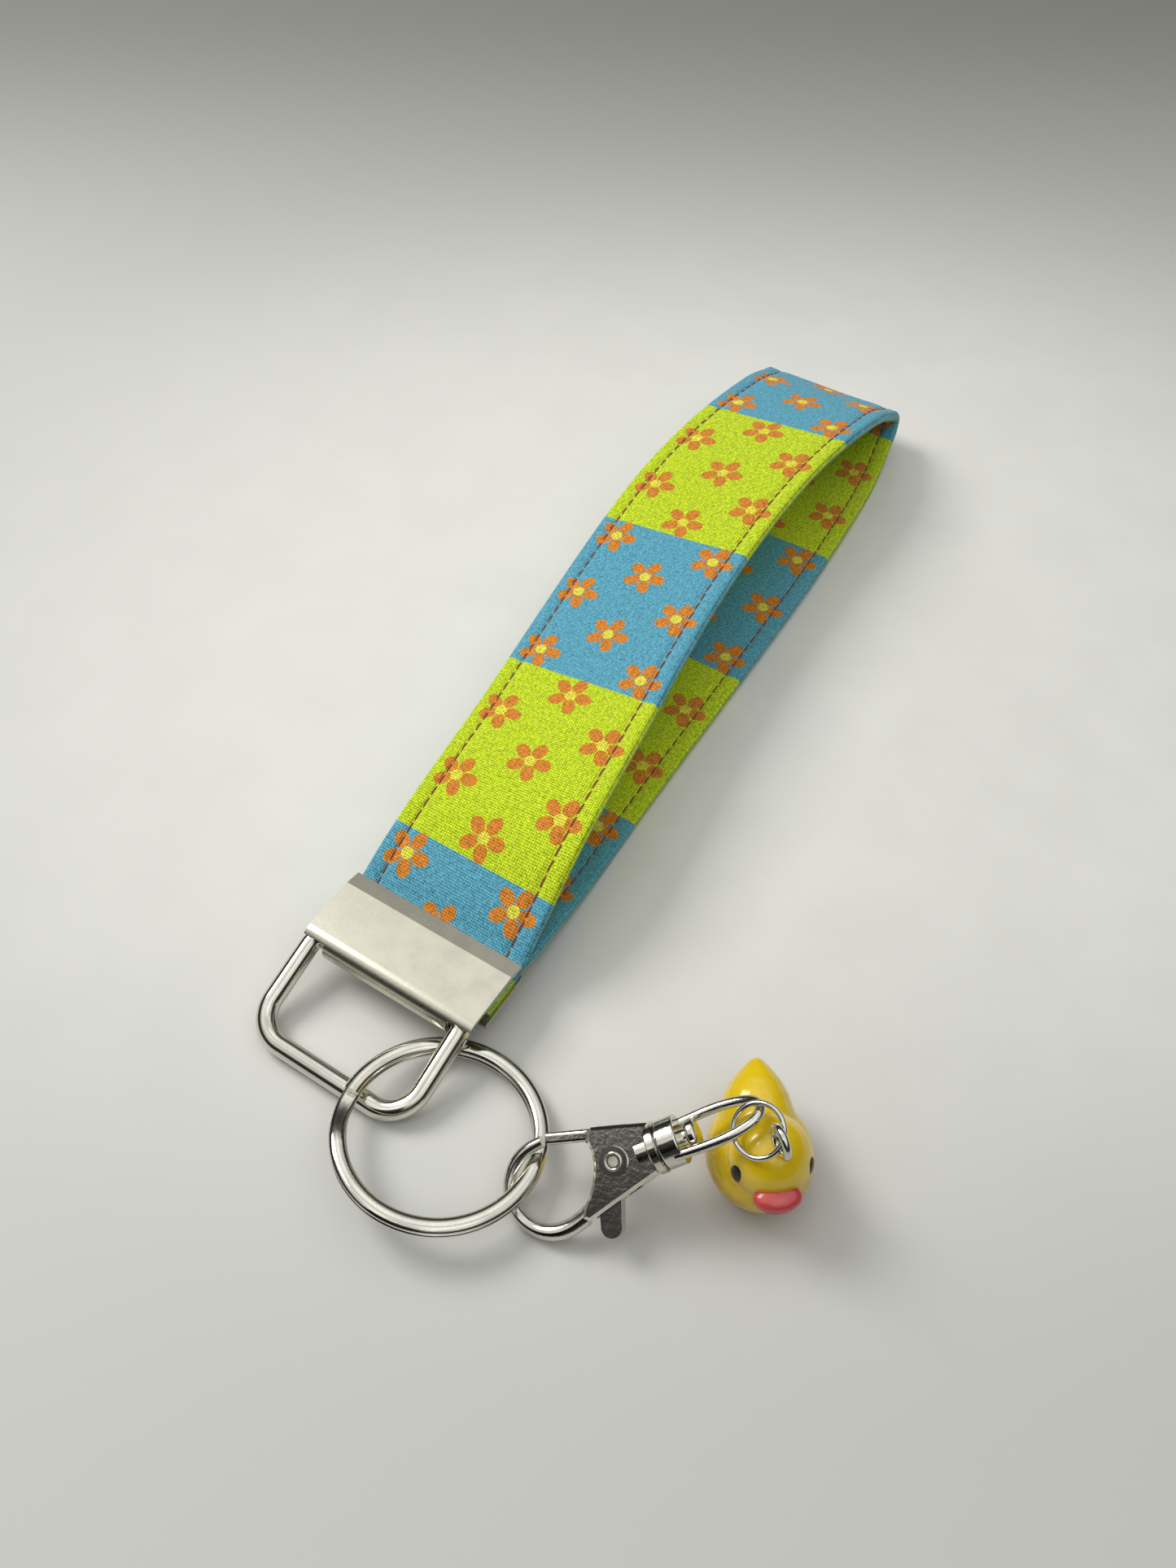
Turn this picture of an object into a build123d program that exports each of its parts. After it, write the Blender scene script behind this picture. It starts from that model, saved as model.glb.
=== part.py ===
from build123d import *
import math
import os

os.makedirs("parts", exist_ok=True)

# ---------------------------------------------------------------- driving dimensions, mm
# Layout is drawn from the clamp's back edge (x to the right, y along the strap, z up) and
# moved at export so the origin lies under the strap's flat face.
CLAMP_TO_ORIGIN = 60.0

# clamp: one folded sheet, U-fold at the front, lips bent in at the back
CLAMP_W = 32.8
SHEET_T = 0.8
PIVOT_Y = -12.2
PIVOT_Z = 7.0
FOLD_R_IN = 1.8
LIP_LEN = 2.8
LIP_DROP = 0.55
SLOT_X = 12.2
SLOT_TOP = 1.95
SLOT_BACK = 2.0

# bail: bent wire rectangle turning in the fold
BAIL_WIRE = 3.4
BAIL_X = -0.7
BAIL_LEG_SPACING = 29.6
BAIL_FAR_Y = -29.1
BAIL_FAR_Z = 1.95
BAIL_CORNER_R = 5.6
BAIL_TOP_CORNER_R = 1.9
BAIL_GAP = 0.6

# split ring: two flat coils joined by one step
RING_CENTRE = (20.67, -27.73, 4.6)
RING_NORMAL = (0.024, 0.156, 1.0)
RING_OD = 32.6
RING_BAND = 2.6
COIL_H = 1.12
COIL_GAP = 0.09
STEP_MID_DEG = 119.0
STEP_SPAN_DEG = 30.0

# hook: plane through the rivet, U along the hook towards the swivel, W across
HOOK_AT = (46.08, -18.71, 9.12)
HOOK_U = (0.7286, 0.5757, 0.3712)
HOOK_N = (-0.0253, -0.5189, 0.8545)
HOOK_T = 4.6
LEVER_SLOT = 2.4
COLLAR_D = 7.5
COLLAR_T = 1.5

# rivet, gate lever, spring
RIVET_R = 1.1
RIVET_BORE_R = 0.75
RIVET_HEAD_R = 2.1
RIVET_HEAD_T = 0.35
BOSS_R = 2.1
GATE_T = 2.1
TAB_W = 3.2
SPRING_WIRE = 0.34

# swivel
AXIS_TILT_DEG = 7.0
NECK_U = 6.1
NECK_W = 0.42
BASE_D = 7.2
BASE_L = 3.0
STUD_R = 1.2
STUD_HEAD_R = 2.2
STUD_HEAD_T = 1.6
EYE_WIRE = 1.5
EYE_ROLL_DEG = 43.0

# jump ring and screw eye
JUMP_OD = 8.3
JUMP_WIRE = 0.8
JUMP_CENTRE = (61.86, -7.76, 18.05)
JUMP_NORMAL = (-0.194, -0.536, 0.821)
SCREW_EYE_OD = 5.4
SCREW_EYE_WIRE = 1.2
SCREW_EYE_AT = (65.31, -8.01, 19.0)
SCREW_EYE_DIR = (0.798, -0.603, 0.0)
SCREW_EYE_STEM = 4.0

# duck charm
DUCK_FACE = (0.634, -0.774, 0.0)
HEAD_AT = (64.04, -6.86, 10.5)
HEAD_R = 6.1
BODY_AT = (62.25, -5.6, 6.1)
BODY_SIZE = (8.6, 8.0, 6.0)
TAIL_TIP = (55.5, 5.0, 10.5)
BEAK_AT = (67.9, -11.7, 10.1)
BEAK_SIZE = (2.1, 3.5, 1.6)

# strap: folded cloth strip, two rows of stitching
STRAP_W = 32.4
PLY_T = 2.2
STITCH_IN = 3.2
GROOVE_W = 0.56
GROOVE_D = 0.42
THREAD_W = 0.36
THREAD_H = 0.24
FLAT_Z = 1.07           # middle of the lower ply where it lies flat, before the flat is trimmed
SEW_START = 12.0        # thread runs are modelled on the free cloth between these two stations
SEW_END = 152.0

# strap centre line: y, z of the middle of the cloth, x of the centre, rise of the right edge
# over the left one, cloth thickness; upper ply from the clamp to the crease, then back below
STRAP_LINE = [
    (-8.6, 7.92, 0.0, 0.0, 1.60),
    (-7.2, 7.92, 0.0, 0.0, 1.60),
    (-5.8, 7.92, 0.0, 0.0, 1.60),
    (-4.4, 7.92, 0.0, 0.0, 1.60),
    (-3.1, 7.90, 0.0, 0.0, 1.56),
    (-1.6, 7.76, 0.0, 0.0, 1.24),
    (-0.2, 7.64, 0.0, 0.0, 0.98),
    (0.8, 7.78, 0.0, 0.0, 1.10),
    (2.2, 8.35, 0.0, 0.0, 1.6),
    (4.2, 9.4, 0.0, 0.4, 2.1),
    (9.0, 11.7, -0.1, 1.6, PLY_T),
    (16.0, 14.6, -0.4, 3.8, PLY_T),
    (24.0, 15.9, -1.2, 5.2, PLY_T),
    (35.0, 16.2, -2.6, 6.0, PLY_T),
    (48.0, 16.4, -4.4, 6.2, PLY_T),
    (62.0, 16.8, -6.4, 6.4, PLY_T),
    (76.0, 17.4, -8.1, 6.2, PLY_T),
    (90.0, 18.4, -9.2, 5.4, PLY_T),
    (104.0, 19.3, -9.7, 4.6, PLY_T),
    (118.0, 19.8, -9.4, 4.2, PLY_T),
    (130.0, 19.2, -8.7, 3.6, PLY_T),
    (140.0, 17.6, -8.2, 2.8, PLY_T),
    (148.5, 15.0, -8.2, 1.8, PLY_T),
    (154.8, 11.7, -8.5, 0.8, PLY_T),
    (159.2, 9.2, -8.9, 0.2, 2.1),
    (160.9, 7.2, -9.0, 0.0, 2.0),
    (159.6, 5.45, -8.6, 0.0, 2.1),
    (154.8, 3.2, -7.9, 0.0, PLY_T),
    (150.0, 1.5, -7.1, 0.0, PLY_T),
    (144.0, FLAT_Z, -6.2, 0.0, PLY_T),
    (136.0, FLAT_Z, -5.3, 0.0, PLY_T),
    (124.0, FLAT_Z, -4.4, 0.0, PLY_T),
    (108.0, FLAT_Z, -3.5, 0.0, PLY_T),
    (90.0, FLAT_Z, -3.0, 0.0, PLY_T),
    (70.0, FLAT_Z, -2.6, 0.0, PLY_T),
    (50.0, FLAT_Z, -2.2, 0.0, PLY_T),
    (36.0, FLAT_Z, -1.8, 0.0, PLY_T),
    (27.0, 1.25, -1.4, 0.0, PLY_T),
    (18.0, 2.15, -0.9, 0.0, PLY_T),
    (10.0, 3.9, -0.4, 0.0, PLY_T),
    (4.4, 5.3, 0.0, 0.0, 2.1),
    (2.2, 5.95, 0.0, 0.0, 1.6),
    (0.8, 6.28, 0.0, 0.0, 1.10),
    (-0.2, 6.36, 0.0, 0.0, 0.98),
    (-1.6, 6.24, 0.0, 0.0, 1.24),
    (-3.1, 6.10, 0.0, 0.0, 1.56),
    (-4.4, 6.08, 0.0, 0.0, 1.60),
    (-5.8, 6.08, 0.0, 0.0, 1.60),
    (-7.2, 6.08, 0.0, 0.0, 1.60),
    (-8.6, 6.08, 0.0, 0.0, 1.60),
]


# ---------------------------------------------------------------- helpers
def unit(v):
    """Vector of length one."""
    return Vector(*v).normalized()


def at_frame(origin, x_dir, z_dir):
    """Location of a local frame given its origin, X and Z directions."""
    z = unit(z_dir)
    x = unit(x_dir)
    x = (x - z * x.dot(z)).normalized()
    return Plane(origin=origin, x_dir=x, z_dir=z).location


def any_frame(origin, z_dir):
    """Location of a local frame where only Z matters."""
    return Plane(origin=origin, z_dir=unit(z_dir)).location


def rounded_torus(major_r, minor_r):
    """Plain closed wire ring."""
    return Torus(major_r, minor_r)


def tube_through(points, radii):
    """Round wire of changing radius lofted through a list of planar points."""
    sections = []
    count = len(points)
    for i in range(count):
        here = Vector(*points[i])
        before = Vector(*points[max(i - 1, 0)])
        after = Vector(*points[min(i + 1, count - 1)])
        along = (after - before).normalized()
        plane = Plane(origin=here, x_dir=(0, 0, 1), z_dir=along)
        sections.append(plane * Circle(radii[i]))
    return loft(sections)


# ---------------------------------------------------------------- strap and stitching
def strap_frames():
    """Centre, width direction, normal and thickness at each station."""
    frames = []
    count = len(STRAP_LINE)
    for i in range(count):
        y, z, x, rise, thick = STRAP_LINE[i]
        before = STRAP_LINE[max(i - 1, 0)]
        after = STRAP_LINE[min(i + 1, count - 1)]
        along = Vector(0, after[0] - before[0], after[1] - before[1]).normalized()
        normal = Vector(1, 0, 0).cross(along)
        roll = math.asin(rise / STRAP_W)
        width = Vector(math.cos(roll), 0, 0) + normal * math.sin(roll)
        normal = normal * math.cos(roll) - Vector(math.sin(roll), 0, 0)
        frames.append((Vector(x, y, z), width, normal, thick))
    return frames


def strap_loft(profile, frames):
    """Solid lofted along the strap; profile(thick) gives the (across, up) corners."""
    faces = []
    for centre, width, normal, thick in frames:
        corners = [centre + width * p[0] + normal * p[1] for p in profile(thick)]
        faces.append(make_face(Polyline(*corners, close=True)))
    return loft(faces)


def cloth_profile(thick):
    """Strip section with a thread groove near each edge on both faces."""
    half = STRAP_W / 2
    up = thick / 2
    row = half - STITCH_IN
    g = GROOVE_W / 2
    top = [(-half, up)]
    for c in (-row, row):
        top += [(c - g, up), (c - g, up - GROOVE_D), (c + g, up - GROOVE_D), (c + g, up)]
    top.append((half, up))
    bottom = [(-p[0], -p[1]) for p in top]
    return top + bottom


def thread_profile(across, side):
    """Section of one thread row lying flush in its groove."""
    def profile(thick):
        hi = thick / 2 - 0.08
        lo = hi - THREAD_H
        w = THREAD_W / 2
        low = [(across - w, side * lo), (across + w, side * lo)]
        high = [(across + w, side * hi), (across - w, side * hi)]
        return low + high
    return profile


def under_plane():
    """Block below the resting plane; cutting it away leaves a true flat."""
    return Pos(0, 80, -5.0) * Box(80, 220, 10.0)


def make_strap():
    """The folded cloth strip, trimmed to a true flat where it lies on a surface."""
    return strap_loft(cloth_profile, strap_frames()) - under_plane()


def make_stitch(side_x):
    """One stitched row: a thread run on both faces of both plies."""
    across = side_x * (STRAP_W / 2 - STITCH_IN)
    frames = strap_frames()
    sewn = [i for i, f in enumerate(frames) if SEW_START < f[0].Y < SEW_END]
    breaks = [k for k in range(1, len(sewn)) if sewn[k] != sewn[k - 1] + 1]
    runs = [sewn[:breaks[0]], sewn[breaks[0]:]]
    below = under_plane()
    threads = []
    for run in runs:
        for side in (1, -1):
            threads.append(strap_loft(thread_profile(across, side), [frames[i] for i in run]) - below)
    return Compound(threads)


def make_clamp():
    """Folded sheet: plates, front U-fold, back lips and end slots for the wire legs."""
    r_out = FOLD_R_IN + SHEET_T
    outer = [(PIVOT_Y, r_out), (-LIP_LEN, r_out), (0.0, r_out - LIP_DROP)]
    inner = [(PIVOT_Y, FOLD_R_IN), (-LIP_LEN, FOLD_R_IN), (0.0, FOLD_R_IN - LIP_DROP)]
    bottom_out = [(y, -z) for y, z in reversed(outer)]
    bottom_in = [(y, -z) for y, z in inner]
    with BuildSketch(Plane.YZ) as sk:
        with BuildLine():
            Polyline(*outer)
            Line(outer[-1], inner[-1])
            Polyline(*reversed(inner))
            ThreePointArc(inner[0], (PIVOT_Y - FOLD_R_IN, 0), bottom_in[0])
            Polyline(*bottom_in)
            Line(bottom_in[-1], bottom_out[0])
            Polyline(*bottom_out)
            ThreePointArc(bottom_out[-1], (PIVOT_Y - r_out, 0), outer[0])
        make_face()
    shell = extrude(sk.sketch, CLAMP_W / 2, both=True)
    slot_len = CLAMP_W / 2 - SLOT_X + 2
    for side in (-1, 1):
        box = Box(slot_len, 8.0, 6.0)
        mid_y = PIVOT_Y + SLOT_BACK - 4.0
        shell = shell - Pos(side * (SLOT_X + slot_len / 2), mid_y, SLOT_TOP - 3.0) * box
    return Pos(0, 0, PIVOT_Z) * shell


def make_bail():
    """Wire rectangle with its two ends meeting inside the fold."""
    reach = math.hypot(BAIL_FAR_Y - PIVOT_Y, BAIL_FAR_Z - PIVOT_Z)
    half = BAIL_LEG_SPACING / 2
    r1 = BAIL_TOP_CORNER_R
    r2 = BAIL_CORNER_R
    k = math.sqrt(0.5)
    near_mid = r2 - r2 * k
    with BuildLine() as path:
        Line((BAIL_GAP / 2, 0), (half - r1, 0))
        ThreePointArc((half - r1, 0), (half - r1 + r1 * k, -r1 + r1 * k), (half, -r1))
        Line((half, -r1), (half, -reach + r2))
        ThreePointArc((half, -reach + r2), (half - near_mid, -reach + near_mid), (half - r2, -reach))
        Line((half - r2, -reach), (-half + r2, -reach))
        ThreePointArc((-half + r2, -reach), (-half + near_mid, -reach + near_mid), (-half, -reach + r2))
        Line((-half, -reach + r2), (-half, -r1))
        ThreePointArc((-half, -r1), (-half + r1 - r1 * k, -r1 + r1 * k), (-half + r1, 0))
        Line((-half + r1, 0), (-BAIL_GAP / 2, 0))
    start = Plane(origin=(BAIL_GAP / 2, 0, 0), z_dir=(1, 0, 0))
    wire = sweep(start * Circle(BAIL_WIRE / 2), path=path.line)
    droop = math.degrees(math.atan2(PIVOT_Z - BAIL_FAR_Z, PIVOT_Y - BAIL_FAR_Y))
    return Pos(BAIL_X, PIVOT_Y, PIVOT_Z) * Rot(droop, 0, 0) * wire


# ---------------------------------------------------------------- split ring
def coil_section(dome):
    """Half-round wire section in the XZ plane: domed above at 1, domed below at -1."""
    b = RING_BAND / 2
    h = COIL_H / 2
    top = h * (0.77 - 0.18 * dome)
    low = -h * (0.77 + 0.18 * dome)
    side = -h * 0.36 * dome
    above = [(-b, side), (-0.72 * b, top), (0, h), (0.72 * b, top)]
    below = [(b, side), (0.72 * b, low), (0, -h), (-0.72 * b, low)]
    points = above + below
    return make_face(Spline(*points, periodic=True))


def make_split_ring():
    """Two flat coils, one above the other, joined by a short sloping step."""
    mid_r = (RING_OD - RING_BAND) / 2
    level = (COIL_H + COIL_GAP) / 2
    arc = 360.0 - STEP_SPAN_DEG - 4.0
    step_start = STEP_MID_DEG - STEP_SPAN_DEG / 2
    step_end = STEP_MID_DEG + STEP_SPAN_DEG / 2
    place = Plane.XZ * Pos(mid_r, 0)
    low = revolve(Pos(0, 0, -level) * place * coil_section(-1), Axis.Z, arc)
    high = revolve(Pos(0, 0, level) * place * coil_section(1), Axis.Z, arc)
    low = Rot(0, 0, step_start - arc) * low
    high = Rot(0, 0, step_end) * high
    sections = []
    steps = 10
    for i in range(steps + 1):
        t = i / steps
        ease = t * t * (3 - 2 * t)
        turn = Rot(0, 0, step_start + STEP_SPAN_DEG * t)
        rise = 2 * ease - 1
        sections.append(turn * Pos(0, 0, level * rise) * place * coil_section(rise))
    ring = low + loft(sections) + high
    return any_frame(RING_CENTRE, RING_NORMAL) * ring


# ---------------------------------------------------------------- hook, gate, rivet, spring
def hook_location():
    """Frame of the hook at its rivet."""
    return at_frame(HOOK_AT, HOOK_U, HOOK_N)


def swivel_location():
    """Frame on the hook's neck, Z along the swivel axis."""
    turn = math.radians(AXIS_TILT_DEG)
    along = (math.cos(turn), math.sin(turn), 0)
    return at_frame((NECK_U, NECK_W, 0), (0, 0, 1), along)


def make_hook_body():
    """Bow, slotted wedge body and neck collar, cast in one piece."""
    bow_pts = [
        (-10.6, 5.15), (-12.0, 4.85), (-13.5, 4.35), (-15.0, 3.4), (-16.3, 1.9), (-17.1, 0.1),
        (-17.2, -2.0), (-16.4, -4.4), (-14.4, -6.5), (-12.0, -7.5), (-9.4, -7.45), (-6.9, -6.6),
        (-4.4, -5.6),
    ]
    bow_rad = [0.84, 0.92, 0.96, 0.96, 0.94, 0.92, 0.92, 0.95, 1.1, 1.24, 1.28, 1.3, 1.35]
    bow = tube_through([(u, w, 0) for u, w in bow_pts], bow_rad)
    outline = [
        (-3.05, 5.0), (-2.3, 5.3), (5.9, 4.05), (6.5, 3.2), (6.5, -2.4), (5.9, -2.95), (-1.0, -5.5),
        (-5.4, -7.15), (-6.4, -6.6), (-5.9, -5.15), (-4.9, -4.0), (-4.0, -2.4), (-3.35, -0.8),
        (-3.05, 0.6), (-3.05, 2.2), (-3.3, 3.4),
    ]
    body = extrude(make_face(Polyline(*outline, close=True)), HOOK_T / 2, both=True)
    body = chamfer(body.faces().sort_by(Axis.Z)[-1].edges(), 0.45)
    body = chamfer(body.faces().sort_by(Axis.Z)[0].edges(), 0.45)
    collar = swivel_location() * Cylinder(COLLAR_D / 2, COLLAR_T)
    collar = chamfer(collar.edges().filter_by(GeomType.CIRCLE), 0.25)
    shoulder = swivel_location() * Pos(0, 0, -1.6) * Cylinder(2.6, 2.2)
    hook = bow + body + collar + shoulder
    slot = Pos(-2.35, -0.6, 0) * Box(9.9, 16.0, LEVER_SLOT)
    keep = Pos(-9.6, -7.5, 0) * Box(7.0, 6.0, 9.0)
    hook = hook - (slot - keep)
    hook = hook - Cylinder(RIVET_R + 0.02, HOOK_T + 2)
    hook = hook - swivel_location() * Cylinder(STUD_R + 0.02, 9.0)
    return hook_location() * hook


def make_gate_lever():
    """Gate bar, boss and thumb tab, one flat lever turning on the rivet."""
    reach = LEVER_SLOT / 2 - 0.08
    boss = Pos(0, 0, -reach + 0.6) * Cylinder(BOSS_R, 1.2)
    arm_pts = [(-1.7, 1.2), (1.2, 1.6), (-0.6, 4.6), (-3.6, 5.0), (-3.8, 3.4), (-2.5, 2.6)]
    arm = extrude(make_face(Polyline(*arm_pts, close=True)), reach - 0.02, both=True)
    arm = arm - Pos(0, 0, 0.7) * Cylinder(2.5, 1.6)
    bar_pts = [(-2.4, 5.15), (-2.8, 3.35), (-9.75, 4.35), (-9.5, 6.2)]
    bar = extrude(make_face(Polyline(*bar_pts, close=True)), GATE_T / 2, both=True)
    long_edges = bar.edges().filter_by(lambda e: e.length > 5)
    bar = fillet(long_edges, 0.6)
    tab_pts = [(-1.9, -0.9), (1.5, -1.5), (-0.6, -5.4), (-1.35, -8.6), (-4.4, -8.3), (-3.9, -5.0)]
    tab = extrude(make_face(Polyline(*tab_pts, close=True)), reach - 0.02, both=True)
    tab = tab + Pos(-2.88, -8.6, 0) * Cylinder(1.56, 2 * reach - 0.04)
    tab = tab - Pos(0, 0, 0.7) * Cylinder(2.5, 1.6)
    lever = boss + arm + bar + tab
    lever = lever - Cylinder(RIVET_R + 0.06, 6.0)
    return hook_location() * lever


def make_rivet():
    """Tubular rivet with a rolled head on each cheek."""
    shaft = Cylinder(RIVET_R, HOOK_T + 2 * RIVET_HEAD_T)
    rivet = shaft
    for side in (-1, 1):
        z = side * (HOOK_T / 2 + 0.01 + RIVET_HEAD_T / 2)
        rivet = rivet + Pos(0, 0, z) * Cylinder(RIVET_HEAD_R, RIVET_HEAD_T)
        rivet = rivet + Pos(0, 0, z + side * RIVET_HEAD_T / 2) * Torus(1.15, 0.22)
    rivet = rivet - Cylinder(RIVET_BORE_R, HOOK_T + 4)
    return hook_location() * rivet


def make_spring():
    """Small torsion spring wound on the rivet beside the lever's boss."""
    coil_r = RIVET_R + 0.1 + SPRING_WIRE / 2
    path = Helix(pitch=0.37, height=0.74, radius=coil_r)
    start = Plane(origin=path @ 0, z_dir=path % 0)
    coil = sweep(start * Circle(SPRING_WIRE / 2), path=path, is_frenet=True)
    return hook_location() * Pos(0, 0, 0.28) * coil


# ---------------------------------------------------------------- swivel
def make_stud():
    """Post held in the neck, peened over inside the eye."""
    shaft = Pos(0, 0, 1.2) * Cylinder(STUD_R, 7.2)
    head = Pos(0, 0, 5.6) * Cylinder(STUD_HEAD_R, STUD_HEAD_T)
    head = fillet(head.edges().filter_by(GeomType.CIRCLE), 0.6)
    return hook_location() * swivel_location() * (shaft + head)


def make_swivel_eye():
    """Base collar turning on the stud, with the wire-like eye rising from it."""
    base = Pos(0, 0, 2.3) * Cylinder(BASE_D / 2, BASE_L)
    base = fillet(base.edges().filter_by(GeomType.CIRCLE), 0.35)
    side = [
        (2.6, 3.0), (4.3, 3.15), (6.5, 3.3), (9.0, 3.35), (11.5, 3.1), (13.6, 2.55), (15.2, 1.6),
        (15.9, 0.0),
    ]
    pts = [(w, 0, z) for z, w in side]
    pts += [(-w, 0, z) for z, w in reversed(side[:-1])]
    path = Spline(*pts)
    start = Plane(origin=path @ 0, z_dir=path % 0)
    loop = sweep(start * Circle(EYE_WIRE / 2), path=path, is_frenet=False)
    eye = base + loop
    eye = eye - Pos(0, 0, 2.3) * Cylinder(STUD_R + 0.05, BASE_L + 1)
    return hook_location() * swivel_location() * Rot(0, 0, EYE_ROLL_DEG) * eye


# ---------------------------------------------------------------- jump ring, screw eye, duck
def make_jump_ring():
    """Light round-wire ring, cut once."""
    ring = rounded_torus((JUMP_OD - JUMP_WIRE) / 2, JUMP_WIRE / 2)
    cut = Rot(0, 0, 70) * Pos(JUMP_OD / 2, 0, 0) * Box(3, 0.06, 3)
    return any_frame(JUMP_CENTRE, JUMP_NORMAL) * (ring - cut)


def make_screw_eye():
    """Closed eye on a short stem sunk in the duck's head."""
    ring = Rot(90, 0, 0) * rounded_torus((SCREW_EYE_OD - SCREW_EYE_WIRE) / 2, SCREW_EYE_WIRE / 2)
    drop = SCREW_EYE_OD / 2 - 0.3
    stem = Pos(0, 0, -drop - SCREW_EYE_STEM / 2) * Cylinder(0.6, SCREW_EYE_STEM)
    return at_frame(SCREW_EYE_AT, SCREW_EYE_DIR, (0, 0, 1)) * (ring + stem)


def ellipsoid(size, origin):
    """Ellipsoid with its first axis along the duck's facing direction."""
    return at_frame(origin, DUCK_FACE, (0, 0, 1)) * scale(Sphere(1.0), by=size)


def make_duck():
    """Body, head, tail, beak and the two eyes."""
    body = ellipsoid(BODY_SIZE, BODY_AT)
    head = Pos(*HEAD_AT) * Sphere(HEAD_R)
    face = unit(DUCK_FACE)
    tip = Vector(*TAIL_TIP)
    root = Vector(*BODY_AT) - face * 3.0 + Vector(0, 0, 0.6)
    along = (tip - root).normalized()
    length = (tip - root).length
    stations = [(0.0, 6.0), (0.35, 5.4), (0.65, 4.1), (0.88, 2.2), (0.985, 0.9)]
    rings = []
    for t, r in stations:
        plane = Plane(origin=root + along * (length * t), z_dir=along)
        rings.append(plane * Circle(r))
    tail = loft(rings)
    duck = body + head + tail
    duck = duck - Pos(60, 0, -5.0) * Box(60, 60, 10.4)
    stem = make_screw_eye()
    bore_at = at_frame(SCREW_EYE_AT, SCREW_EYE_DIR, (0, 0, 1))
    bore = bore_at * Pos(0, 0, -SCREW_EYE_OD / 2 - 2.2) * Cylinder(0.62, 4.6)
    dimple = Rot(90, 0, 0) * rounded_torus((SCREW_EYE_OD - SCREW_EYE_WIRE) / 2, SCREW_EYE_WIRE / 2 + 0.05)
    duck = duck - bore - bore_at * dimple
    pocket = tuple(v + 0.01 for v in BEAK_SIZE)
    beak = ellipsoid(BEAK_SIZE, BEAK_AT)
    duck = duck - ellipsoid(pocket, BEAK_AT)
    eyes = []
    side = Vector(0, 0, 1).cross(face)
    for s in (-1, 1):
        look = (face * 0.42 + side * (0.93 * s) + Vector(0, 0, 0.12)).normalized()
        spot = Vector(*HEAD_AT) + look * (HEAD_R - 0.25)
        lens = at_frame(tuple(spot), (0, 0, 1), tuple(look)) * scale(Sphere(1.0), by=(1.25, 0.85, 0.42))
        eyes.append(lens - duck - (Pos(*HEAD_AT) * Sphere(HEAD_R + 0.01)))
    return duck, beak, eyes, stem


# ---------------------------------------------------------------- build and export
duck_body, duck_beak, duck_eyes, screw_eye = make_duck()
nodes = {
    "strap_cloth": make_strap(),
    "stitch_left": make_stitch(-1),
    "stitch_right": make_stitch(1),
    "clamp_shell": make_clamp(),
    "swing_bail": make_bail(),
    "split_ring": make_split_ring(),
    "hook_body": make_hook_body(),
    "gate_lever": make_gate_lever(),
    "pivot_rivet": make_rivet(),
    "gate_spring": make_spring(),
    "swivel_stud": make_stud(),
    "swivel_eye": make_swivel_eye(),
    "jump_ring": make_jump_ring(),
    "screw_eye": screw_eye,
    "duck_body": duck_body,
    "duck_beak": duck_beak,
    "duck_eye_left": duck_eyes[0],
    "duck_eye_right": duck_eyes[1],
}
for name, shape in nodes.items():
    moved = Location((0, -CLAMP_TO_ORIGIN, 0)) * shape
    export_step(moved, f"parts/{name}.step")
    box = moved.bounding_box()
    print(name, round(moved.volume, 3), len(moved.solids()), [round(v, 2) for v in (*box.min, *box.max)])
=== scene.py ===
"""Looks of the wristlet keychain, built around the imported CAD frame."""

import math

import bmesh
import bpy
import numpy as np
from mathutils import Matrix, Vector


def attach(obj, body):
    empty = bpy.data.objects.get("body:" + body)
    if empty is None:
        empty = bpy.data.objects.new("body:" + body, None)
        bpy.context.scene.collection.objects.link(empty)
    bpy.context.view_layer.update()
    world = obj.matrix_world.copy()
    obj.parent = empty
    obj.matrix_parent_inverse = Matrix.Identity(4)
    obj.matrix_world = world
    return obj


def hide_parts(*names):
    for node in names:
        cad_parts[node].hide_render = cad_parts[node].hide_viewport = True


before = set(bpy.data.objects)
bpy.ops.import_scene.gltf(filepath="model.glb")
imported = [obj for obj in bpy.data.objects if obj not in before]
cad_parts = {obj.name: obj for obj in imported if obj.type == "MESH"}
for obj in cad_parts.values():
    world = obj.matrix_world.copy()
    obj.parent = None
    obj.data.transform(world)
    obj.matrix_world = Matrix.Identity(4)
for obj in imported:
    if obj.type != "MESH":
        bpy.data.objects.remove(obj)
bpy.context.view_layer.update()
MM = 0.001

# ---------------------------------------------------------------- strap dimensions, mm
STRAP_W = 32.4
PLY_T = 2.2
CLAMP_TO_ORIGIN = 60.0
STITCH_IN = 3.2
STITCH_PITCH = 2.6
STITCH_LEN = 2.35
THREAD_R = 0.16
STITCH_LIFT, STITCH_DIP = 0.11, 0.24    # middle over the cloth's face, and how far the ends sink
STITCH_LEAN = 0.09                      # sideways slant of one stitch
INNER_PRINT = 400.0     # where the inner face's print starts on the print sheet
ROW_AT = STRAP_W / 2 - STITCH_IN
ROW_TICKS = np.array([-0.6, -0.4, -0.2, 0, 0.2, 0.4, 0.6])

# relief of the cloth's faces: depth and half width of each form
CHANNEL_D, CHANNEL_W = 0.34, 0.55       # pressed in by the thread
PUCKER_D, PUCKER_W = 0.13, 1.5          # between stitches
PILLOW_D, PILLOW_W = 0.10, 9.5          # along the middle
WAVE_D = 0.06                           # soft uneven waves
CLAMPED_LEN, CLAMPED_FADE = 9.0, 8.0    # held flat in the clamp, then easing out

# rolled long edge: centre and reach of its round, and the same on the print sheet
ROLL_AT, ROLL_R = 15.45, 0.75
ROLL_PRINT_AT, ROLL_PRINT_R = 15.5, 0.8
ROLL_IN = 0.02

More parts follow.
